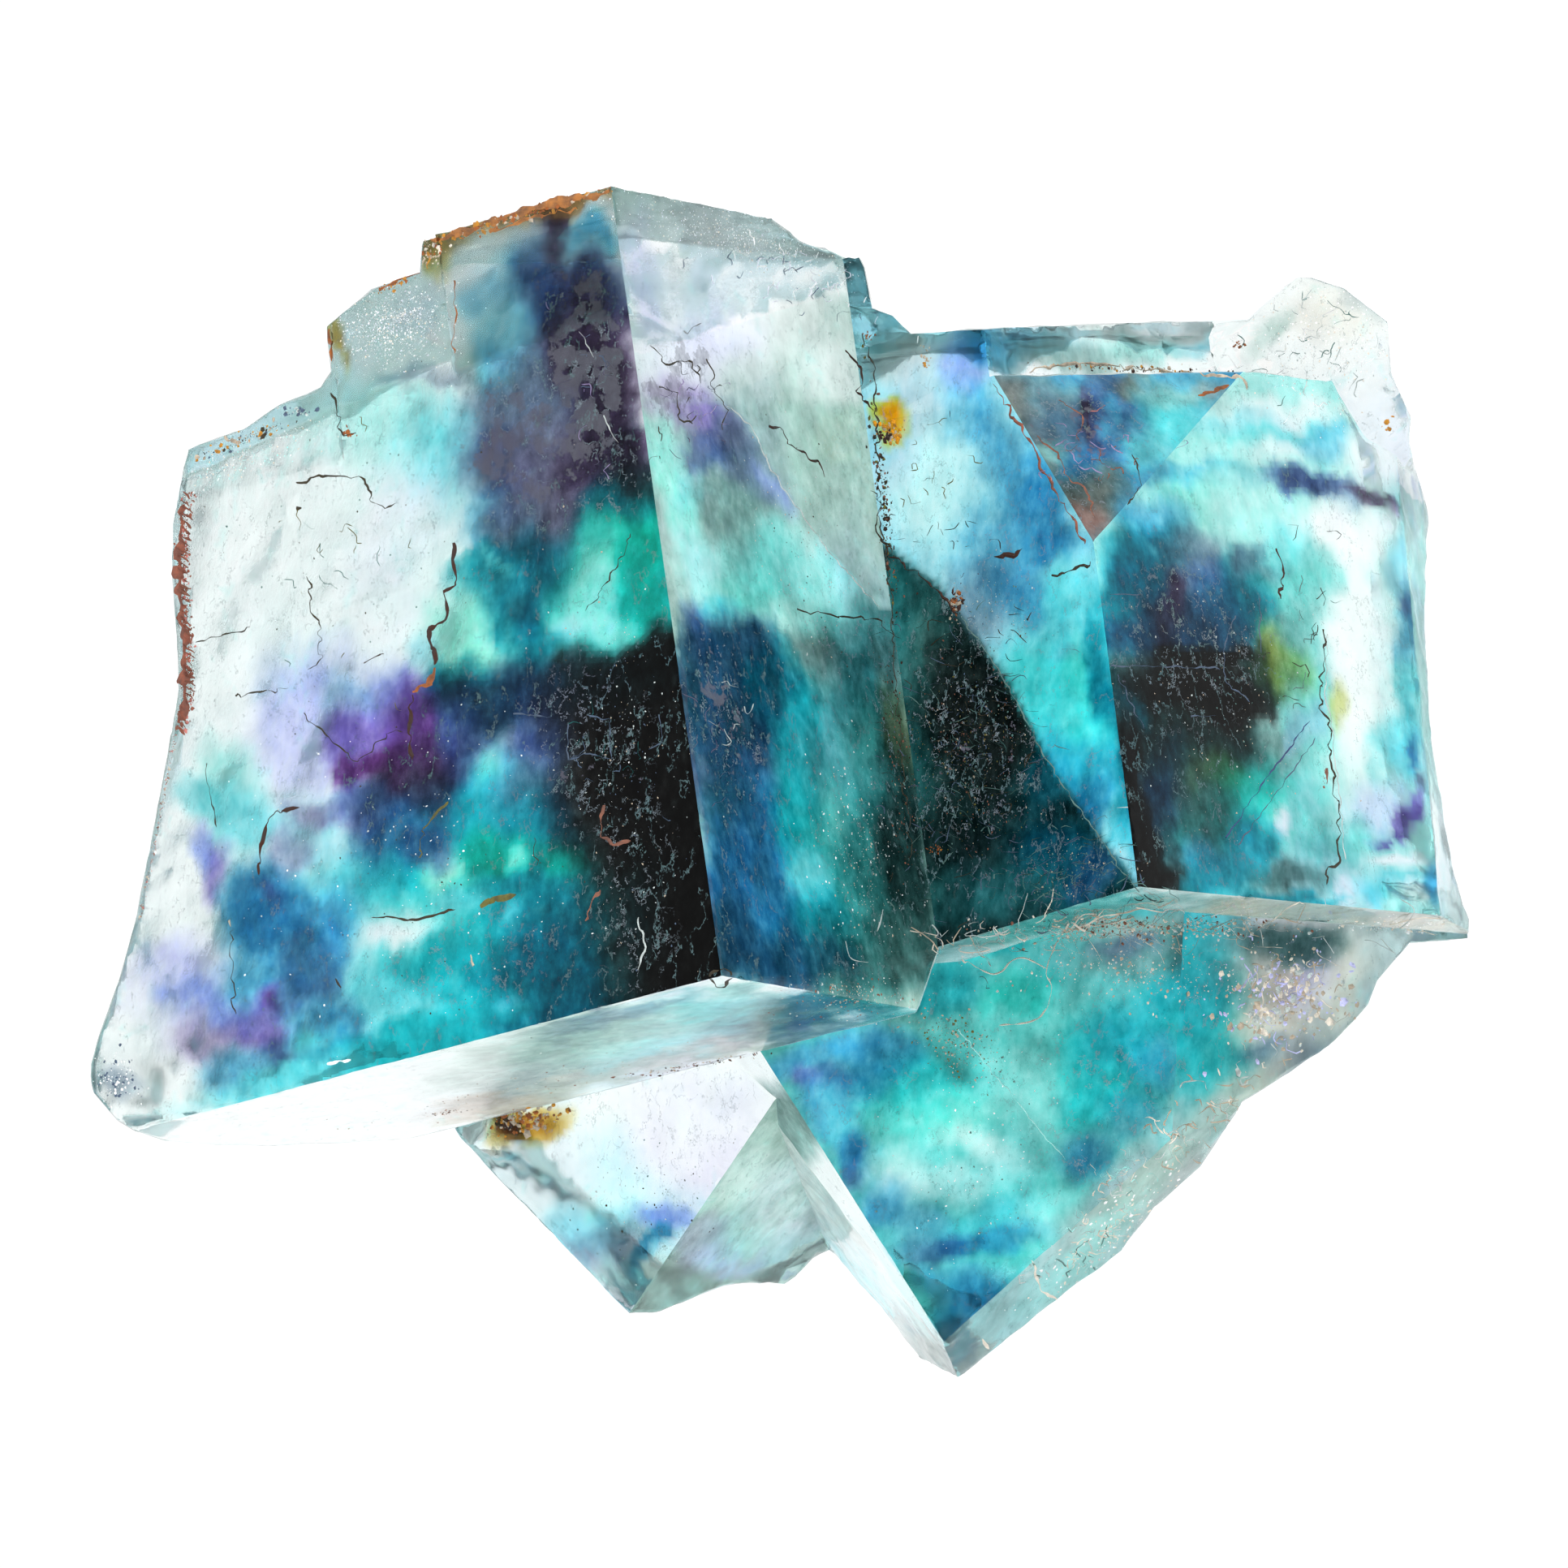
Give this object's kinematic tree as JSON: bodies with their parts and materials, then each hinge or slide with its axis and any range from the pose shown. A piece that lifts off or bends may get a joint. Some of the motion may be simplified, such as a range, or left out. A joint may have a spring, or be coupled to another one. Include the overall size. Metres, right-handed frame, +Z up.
{
  "type": "fluorite crystal cluster",
  "caption": "Interpenetrating cubic fluorite crystals with growth ledges, a chipped corner and a broken back that the cluster rests on.",
  "frame": {"origin": "centre of the bounding box in plan, on the flat part of the broken back", "axes": "+X across the cluster from the large crystal to the right crystal, +Y along the crystals' upright edges towards the stepped top, +Z up from the broken back to the crystal corners"},
  "size_m": [0.034, 0.0292, 0.0195],
  "materials": {
    "fluorite": "clear blue-green crystal with violet zones, glossy etched faces, frosted breaks and brown iron stains"
  },
  "bodies": {
    "root": {"fluorite_cluster": "fluorite"}
  },
  "joints": []
}
